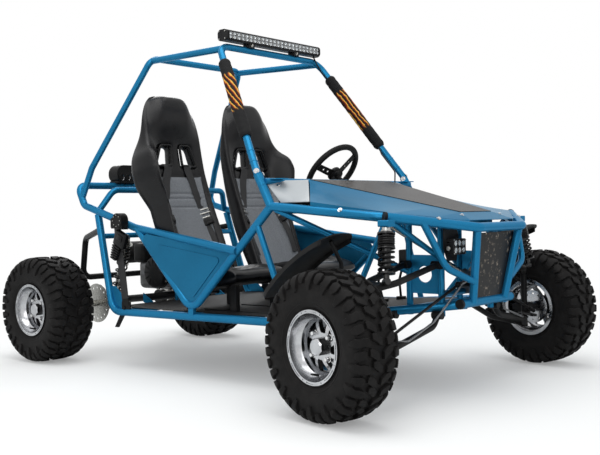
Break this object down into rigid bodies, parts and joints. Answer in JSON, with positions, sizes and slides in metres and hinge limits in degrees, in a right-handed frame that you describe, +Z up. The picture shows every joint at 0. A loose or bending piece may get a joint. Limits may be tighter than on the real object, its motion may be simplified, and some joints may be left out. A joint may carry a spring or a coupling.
{
  "type": "dune buggy",
  "caption": "Open off-road buggy with a welded tube frame, roof cage, bucket seats, faceted nose, steered front wheels and a live rear axle on low-pressure tyres.",
  "frame": {"origin": "on the ground under the middle of the wheelbase, on the centre line", "axes": "+X forward along the length, +Y to the driver's left, +Z up"},
  "size_m": [2.7401, 1.867, 1.645],
  "materials": {
    "frame_blue": "gloss metallic",
    "panel_blue": "gloss metallic",
    "arm_black": "satin",
    "spring_black": "gloss",
    "engine_alloy": "cast",
    "muffler_black": "matt",
    "plastic_black": "moulded",
    "floor_black": "textured",
    "hood_black": "satin",
    "cowl_grey": "satin",
    "grille_black": "satin",
    "seat_leatherette": "grained",
    "lamp_black": "anodised",
    "pad_foam": "printed",
    "rod_steel": "zinc plated",
    "grip_black": "grained",
    "strap_webbing": "woven",
    "cable_black": "moulded",
    "hose_braid": "braided",
    "damper_steel": "polished",
    "rim_alloy": "machined",
    "tyre_rubber": "matt"
  },
  "bodies": {
    "chassis": {"lower_frame": "frame_blue", "rear_loop": "frame_blue", "pillar_hoop": "frame_blue", "door_frame_right": "frame_blue", "door_frame_left": "frame_blue", "rear_hoop": "frame_blue", "roof_rails": "frame_blue", "dash_bar": "frame_blue", "bulkhead": "frame_blue", "front_frame_right": "frame_blue", "front_frame_left": "frame_blue", "front_bumper": "frame_blue", "tube_plugs": "plastic_black", "lower_arms": "arm_black", "upper_arms": "arm_black", "front_shocks": "damper_steel", "swing_arm": "arm_black", "rear_shocks": "damper_steel", "coil_springs": "spring_black", "engine": "engine_alloy", "rear_guard": "arm_black", "muffler": "muffler_black", "rear_lamp": "plastic_black", "floor_pan": "floor_black", "pedals": "arm_black", "hood": "panel_blue", "hood_top": "hood_black", "cowl_plates": "cowl_grey", "dash_panel": "plastic_black", "door_panels": "panel_blue", "grille_panel": "grille_black", "seat_right": "seat_leatherette", "seat_left": "seat_leatherette", "harness_straps": "strap_webbing", "seat_mounts": "arm_black", "belt_reels": "plastic_black", "light_bar": "lamp_black", "light_bar_cable": "cable_black", "pillar_pads": "pad_foam", "led_pods": "lamp_black", "column_bearing": "arm_black", "rack_housing": "engine_alloy", "brake_hoses": "hose_braid", "jack_tabs": "arm_black"},
    "steering_rack": {"rack_bar": "arm_black"},
    "steering_column": {"steering_wheel": "grip_black"},
    "steering_shaft": {"lower_shaft": "rod_steel"},
    "knuckle_right": {"knuckle_right": "rod_steel", "fender_right": "plastic_black"},
    "knuckle_left": {"knuckle_left": "rod_steel", "fender_left": "plastic_black"},
    "wheel_front_right": {"front_rim_right": "rim_alloy", "front_tyre_right": "tyre_rubber"},
    "wheel_front_left": {"front_rim_left": "rim_alloy", "front_tyre_left": "tyre_rubber"},
    "rear_wheels": {"rear_axle": "rod_steel", "rear_rims": "rim_alloy", "rear_tyres": "tyre_rubber"}
  },
  "joints": [
    {"name": "right_steer", "type": "hinge", "parent": "chassis", "child": "knuckle_right", "pos_m": [1.08, -0.685, 0.279], "axis": [0, 0, 1], "range_deg": [-16.4, 33.6]},
    {"name": "left_steer", "type": "hinge", "parent": "chassis", "child": "knuckle_left", "pos_m": [1.08, 0.685, 0.279], "axis": [0, 0, 1], "range_deg": [-16.4, 33.6]},
    {"name": "rack_slide", "type": "slide", "parent": "chassis", "child": "steering_rack", "axis": [0, 1, 0], "range_m": [-0.02739, 0.05591]},
    {"name": "steering_wheel_turn", "type": "hinge", "parent": "chassis", "child": "steering_column", "pos_m": [0.221, 0.275, 0.975], "axis": [-0.7771, 0, 0.6293], "range_deg": [-92.15, 188.26]},
    {"name": "steering_shaft_turn", "type": "hinge", "parent": "chassis", "child": "steering_shaft", "pos_m": [0.56139, 0.275, 0.69936], "axis": [-0.8789, 0.3469, 0.3273], "range_deg": [-92.15, 188.26]},
    {"name": "front_right_spin", "type": "hinge", "parent": "knuckle_right", "child": "wheel_front_right", "pos_m": [1.06176, -0.80563, 0.279], "axis": [0.1495, 0.9888, 0], "continuous": true},
    {"name": "front_left_spin", "type": "hinge", "parent": "knuckle_left", "child": "wheel_front_left", "pos_m": [1.09824, 0.80563, 0.279], "axis": [0.1495, 0.9888, 0], "continuous": true},
    {"name": "rear_axle_spin", "type": "hinge", "parent": "chassis", "child": "rear_wheels", "pos_m": [-1.08, 0, 0.279], "axis": [0, 1, 0], "continuous": true}
  ],
  "couplings": [
    {"joint": "left_steer", "follows": "right_steer", "ratio": 1},
    {"joint": "rack_slide", "follows": "right_steer", "m_per_rad": 0.095},
    {"joint": "steering_wheel_turn", "follows": "right_steer", "ratio": 5.5882},
    {"joint": "steering_shaft_turn", "follows": "right_steer", "ratio": 5.5882}
  ]
}
